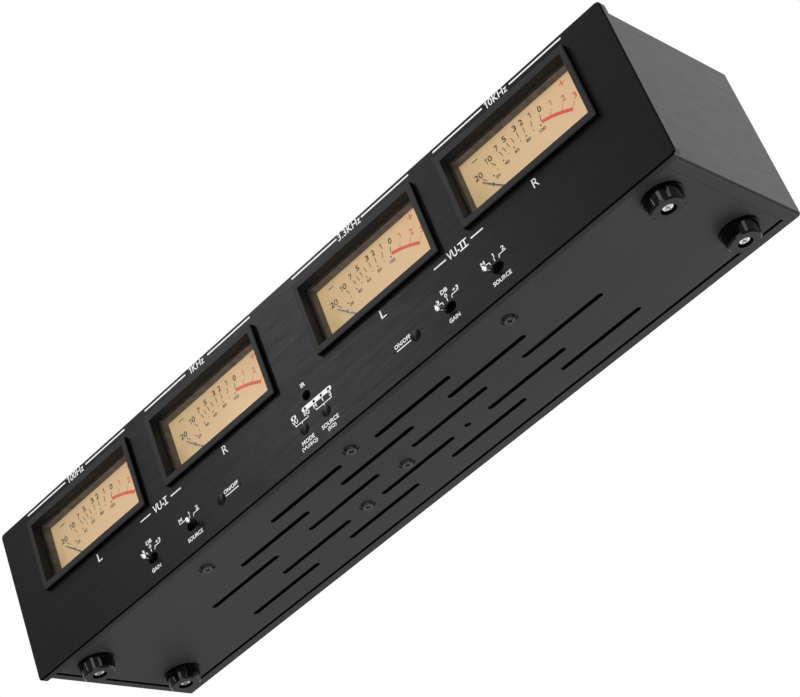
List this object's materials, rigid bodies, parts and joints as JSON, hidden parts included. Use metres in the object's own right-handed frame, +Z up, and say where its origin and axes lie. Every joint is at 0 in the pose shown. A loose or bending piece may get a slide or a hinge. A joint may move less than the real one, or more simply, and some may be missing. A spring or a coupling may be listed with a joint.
{
  "type": "analog vu meter",
  "caption": "Full-width black component case with backlit analog level meters, toggle switches, push buttons, a remote window, a slotted bottom plate and round feet.",
  "frame": {"origin": "on the floor under the middle of the bounding box", "axes": "+X along the front panel to the viewer's right, +Y from the front panel to the rear, +Z up"},
  "size_m": [0.43, 0.1164, 0.0932],
  "materials": {
    "panel": "black anodised, fine brushing along the width",
    "cover": "black anodised, brushed along the depth",
    "bottom": "matte black",
    "bright_steel": "zinc plated",
    "plain_aluminium": "as extruded",
    "foot": "glossy black",
    "zinc_screw": "bright zinc",
    "black_screw": "black oxide",
    "brass_spacer": "plain",
    "bezel": "satin black",
    "lens": "clear plastic",
    "housing": "matte black",
    "dial": "printed warm cream",
    "movement": "plain",
    "pointer": "painted black",
    "switch_body": "black",
    "lever": "bright",
    "button": "glossy black",
    "ir_window": "dark translucent",
    "led": "clear",
    "board": "black solder mask",
    "components": "black",
    "jack_metal": "nickel"
  },
  "bodies": {
    "case": {"front_panel": "panel", "top_cover": "cover", "bottom_plate": "bottom", "rear_panel": "bottom", "panel_rail": "bright_steel", "side_bracket_left": "bright_steel", "side_bracket_right": "bright_steel", "corner_blocks": "plain_aluminium", "foot_front_left": "foot", "foot_front_right": "foot", "foot_rear_left": "foot", "foot_rear_right": "foot", "foot_screws": "zinc_screw", "case_screws": "black_screw", "inner_screws": "zinc_screw", "hex_spacers": "brass_spacer", "bezel_1": "bezel", "lens_1": "lens", "meter_housing_1": "housing", "dial_1": "dial", "movement_1": "movement", "bezel_2": "bezel", "lens_2": "lens", "meter_housing_2": "housing", "dial_2": "dial", "movement_2": "movement", "bezel_3": "bezel", "lens_3": "lens", "meter_housing_3": "housing", "dial_3": "dial", "movement_3": "movement", "bezel_4": "bezel", "lens_4": "lens", "meter_housing_4": "housing", "dial_4": "dial", "movement_4": "movement", "gain_switch_1": "switch_body", "source_switch_1": "switch_body", "gain_switch_2": "switch_body", "source_switch_2": "switch_body", "tact_switches": "switch_body", "ir_receiver": "ir_window", "leds": "led", "control_board": "board", "main_board": "board", "board_components": "components", "rca_jacks": "jack_metal", "dc_jack": "switch_body"},
    "pointer_1": {"pointer_1": "pointer"},
    "pointer_2": {"pointer_2": "pointer"},
    "pointer_3": {"pointer_3": "pointer"},
    "pointer_4": {"pointer_4": "pointer"},
    "gain_lever_1": {"gain_lever_1": "lever"},
    "source_lever_1": {"source_lever_1": "lever"},
    "gain_lever_2": {"gain_lever_2": "lever"},
    "source_lever_2": {"source_lever_2": "lever"},
    "power_button_1": {"power_button_1": "button"},
    "power_button_2": {"power_button_2": "button"},
    "mode_button": {"mode_button": "button"},
    "source_button": {"source_button": "button"}
  },
  "joints": [
    {"name": "pointer_1_swing", "type": "hinge", "parent": "case", "child": "pointer_1", "pos_m": [-0.1517, -0.04295, 0.0392], "axis": [0, 1, 0], "range_deg": [-1.5, 93], "stiffness_Nm_per_rad": 0.0002},
    {"name": "pointer_2_swing", "type": "hinge", "parent": "case", "child": "pointer_2", "pos_m": [-0.0553, -0.04295, 0.0392], "axis": [0, 1, 0], "range_deg": [-1.5, 93], "stiffness_Nm_per_rad": 0.0002},
    {"name": "pointer_3_swing", "type": "hinge", "parent": "case", "child": "pointer_3", "pos_m": [0.0553, -0.04295, 0.0392], "axis": [0, 1, 0], "range_deg": [-1.5, 93], "stiffness_Nm_per_rad": 0.0002},
    {"name": "pointer_4_swing", "type": "hinge", "parent": "case", "child": "pointer_4", "pos_m": [0.1517, -0.04295, 0.0392], "axis": [0, 1, 0], "range_deg": [-1.5, 93], "stiffness_Nm_per_rad": 0.0002},
    {"name": "gain_lever_1_swing", "type": "hinge", "parent": "case", "child": "gain_lever_1", "pos_m": [-0.1183, -0.04425, 0.0199], "axis": [0, 0, 1], "range_deg": [-14.5, 14.5]},
    {"name": "source_lever_1_swing", "type": "hinge", "parent": "case", "child": "source_lever_1", "pos_m": [-0.0889, -0.04425, 0.0199], "axis": [0, 0, 1], "range_deg": [-29, 0]},
    {"name": "gain_lever_2_swing", "type": "hinge", "parent": "case", "child": "gain_lever_2", "pos_m": [0.0889, -0.04425, 0.0199], "axis": [0, 0, 1], "range_deg": [0, 29]},
    {"name": "source_lever_2_swing", "type": "hinge", "parent": "case", "child": "source_lever_2", "pos_m": [0.1183, -0.04425, 0.0199], "axis": [0, 0, 1], "range_deg": [0, 29]},
    {"name": "power_button_1_press", "type": "slide", "parent": "case", "child": "power_button_1", "axis": [0, 1, 0], "range_m": [0, 0.0005], "stiffness_N_per_m": 150},
    {"name": "power_button_2_press", "type": "slide", "parent": "case", "child": "power_button_2", "axis": [0, 1, 0], "range_m": [0, 0.0005], "stiffness_N_per_m": 150},
    {"name": "mode_button_press", "type": "slide", "parent": "case", "child": "mode_button", "axis": [0, 1, 0], "range_m": [0, 0.0005], "stiffness_N_per_m": 150},
    {"name": "source_button_press", "type": "slide", "parent": "case", "child": "source_button", "axis": [0, 1, 0], "range_m": [0, 0.0005], "stiffness_N_per_m": 150}
  ]
}
